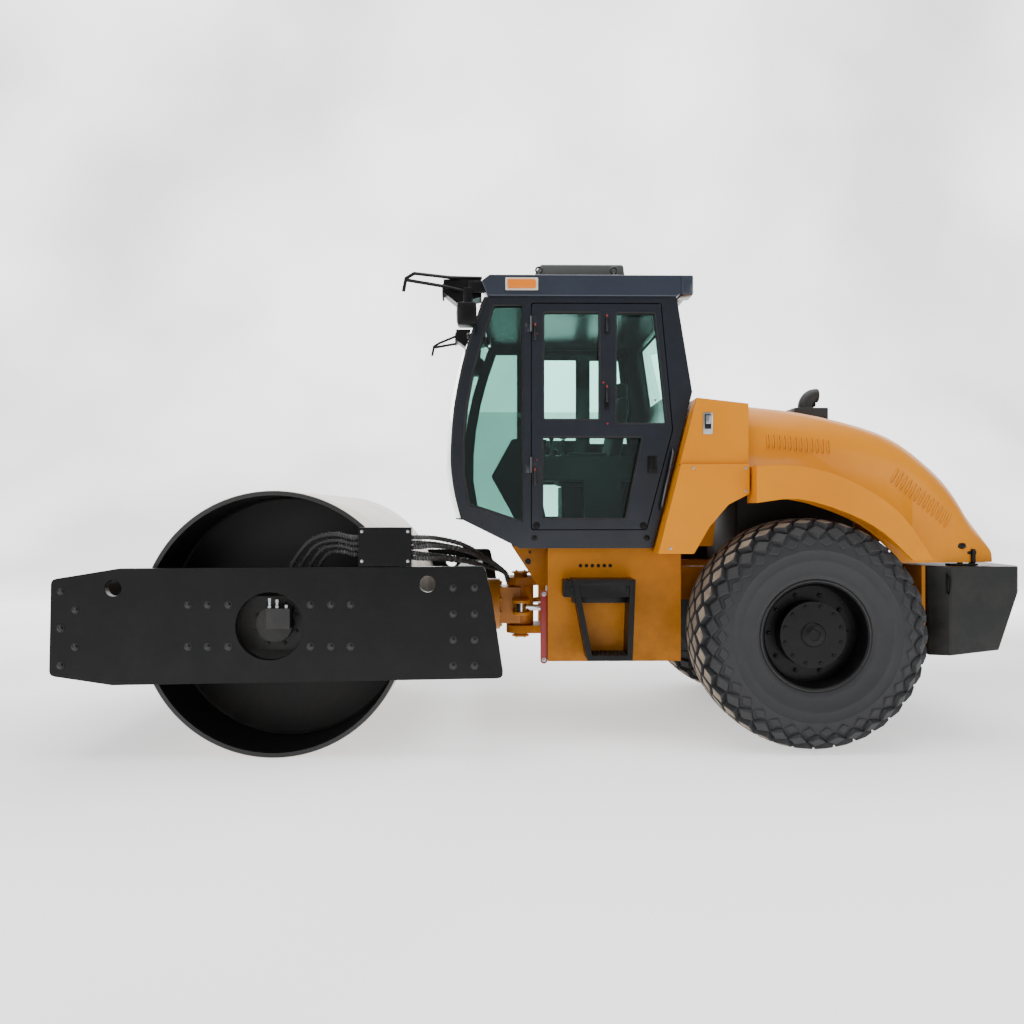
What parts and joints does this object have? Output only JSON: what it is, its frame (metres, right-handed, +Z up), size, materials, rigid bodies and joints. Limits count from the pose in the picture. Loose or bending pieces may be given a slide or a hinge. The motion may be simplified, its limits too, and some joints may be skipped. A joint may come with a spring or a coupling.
{
  "type": "road roller",
  "caption": "Single-drum soil compactor: steel drum in a box frame, articulated joint, closed cab, lifting engine hood and treaded rear wheels",
  "frame": {"origin": "middle of the machine's length and width, on the ground", "axes": "+X towards the rear, +Y towards the right side, +Z up; the drum is at -X"},
  "size_m": [5.9314, 2.3, 3.1556],
  "materials": {
    "yellow_paint": "gloss enamel, lightly dusted",
    "black_paint": "satin",
    "charcoal_paint": "satin",
    "cab_paint": "satin",
    "red_paint": "satin",
    "cast_iron": "painted casting",
    "bare_steel": "worn by rolling",
    "chrome": "polished",
    "tyre_rubber": "dusty",
    "hose_rubber": "matt",
    "tinted_glass": "green tint",
    "seat_fabric": "woven",
    "grey_plastic": "moulded"
  },
  "bodies": {
    "rear_frame": {"chassis": "yellow_paint", "lock_bar": "red_paint", "step_left": "black_paint", "step_right": "black_paint", "rear_axle": "cast_iron", "engine_block": "cast_iron", "upper_housing": "yellow_paint", "lower_panel_left": "yellow_paint", "lower_panel_right": "yellow_paint", "counterweight": "charcoal_paint", "cab_floor": "cab_paint", "cab_side_left": "cab_paint", "cab_side_right": "cab_paint", "cab_rear": "cab_paint", "cab_roof": "cab_paint", "ac_unit": "grey_plastic", "windscreen": "tinted_glass", "quarter_glass_left": "tinted_glass", "quarter_glass_right": "tinted_glass", "rear_glass": "tinted_glass", "seat_base": "grey_plastic", "seat_cushion": "seat_fabric", "seat_back": "seat_fabric", "steering_console": "grey_plastic", "lamp_bracket_left": "black_paint", "lamp_bracket_right": "black_paint"},
    "hood": {"hood": "yellow_paint", "rear_grille": "black_paint", "exhaust": "black_paint"},
    "door_left": {"door_left": "cab_paint", "door_glass_left": "tinted_glass"},
    "door_right": {"door_right": "cab_paint", "door_glass_right": "tinted_glass"},
    "wheel_left": {"tyre_left": "tyre_rubber", "wheel_left": "black_paint"},
    "wheel_right": {"tyre_right": "tyre_rubber", "wheel_right": "black_paint"},
    "yoke": {"yoke": "yellow_paint"},
    "front_frame": {"frame_plate_left": "black_paint", "frame_plate_right": "black_paint", "drum_mount_left": "cast_iron", "drum_mount_right": "cast_iron", "front_beam": "black_paint", "rear_beam": "black_paint", "hose_box": "black_paint", "hoses_drum": "hose_rubber", "hoses_front": "hose_rubber"},
    "drum": {"drum_shell": "bare_steel", "drum_core": "black_paint"},
    "barrel_left": {"cylinder_barrel_left": "black_paint"},
    "barrel_right": {"cylinder_barrel_right": "black_paint"},
    "rod_left": {"cylinder_rod_left": "chrome"},
    "rod_right": {"cylinder_rod_right": "chrome"}
  },
  "joints": [
    {"name": "steer", "type": "hinge", "parent": "rear_frame", "child": "yoke", "pos_m": [-0.181, 0, 0.8], "axis": [0, 0, 1], "range_deg": [-33, 33]},
    {"name": "oscillation", "type": "hinge", "parent": "yoke", "child": "front_frame", "pos_m": [-0.181, 0, 0.8], "axis": [1, 0, 0], "range_deg": [-12, 12], "deforming": ["hoses_front"]},
    {"name": "drum_spin", "type": "hinge", "parent": "front_frame", "child": "drum", "pos_m": [-1.681, 0, 0.79924], "axis": [0, 1, 0], "continuous": true},
    {"name": "wheel_spin_left", "type": "hinge", "parent": "rear_frame", "child": "wheel_left", "pos_m": [1.586, -0.81, 0.71846], "axis": [0, 1, 0], "continuous": true},
    {"name": "wheel_spin_right", "type": "hinge", "parent": "rear_frame", "child": "wheel_right", "pos_m": [1.586, 0.81, 0.71846], "axis": [0, 1, 0], "continuous": true},
    {"name": "door_swing_left", "type": "hinge", "parent": "rear_frame", "child": "door_left", "pos_m": [-0.13405, -0.812, 1.6], "axis": [0, 0, 1], "range_deg": [-85, 0]},
    {"name": "door_swing_right", "type": "hinge", "parent": "rear_frame", "child": "door_right", "pos_m": [-0.13405, 0.812, 1.6], "axis": [0, 0, 1], "range_deg": [0, 85]},
    {"name": "hood_lift", "type": "hinge", "parent": "rear_frame", "child": "hood", "pos_m": [1.225, 0, 2.185], "axis": [0, -1, 0], "range_deg": [0, 50]},
    {"name": "barrel_swing_left", "type": "hinge", "parent": "rear_frame", "child": "barrel_left", "pos_m": [0.479, -0.32, 0.8], "axis": [0, 0, 1], "range_deg": [-3, 3]},
    {"name": "barrel_swing_right", "type": "hinge", "parent": "rear_frame", "child": "barrel_right", "pos_m": [0.479, 0.32, 0.8], "axis": [0, 0, 1], "range_deg": [-3, 3]},
    {"name": "rod_stroke_left", "type": "slide", "parent": "barrel_left", "child": "rod_left", "axis": [-0.9887, 0.1498, 0], "range_m": [-0.1233, 0.1233]},
    {"name": "rod_stroke_right", "type": "slide", "parent": "barrel_right", "child": "rod_right", "axis": [-0.9887, -0.1498, 0], "range_m": [-0.1233, 0.1233]}
  ],
  "couplings": [
    {"joint": "barrel_swing_left", "follows": "steer", "ratio": -0.0588},
    {"joint": "barrel_swing_right", "follows": "steer", "ratio": -0.0588},
    {"joint": "rod_stroke_left", "follows": "steer", "m_per_rad": -0.20882},
    {"joint": "rod_stroke_right", "follows": "steer", "m_per_rad": 0.20882}
  ]
}
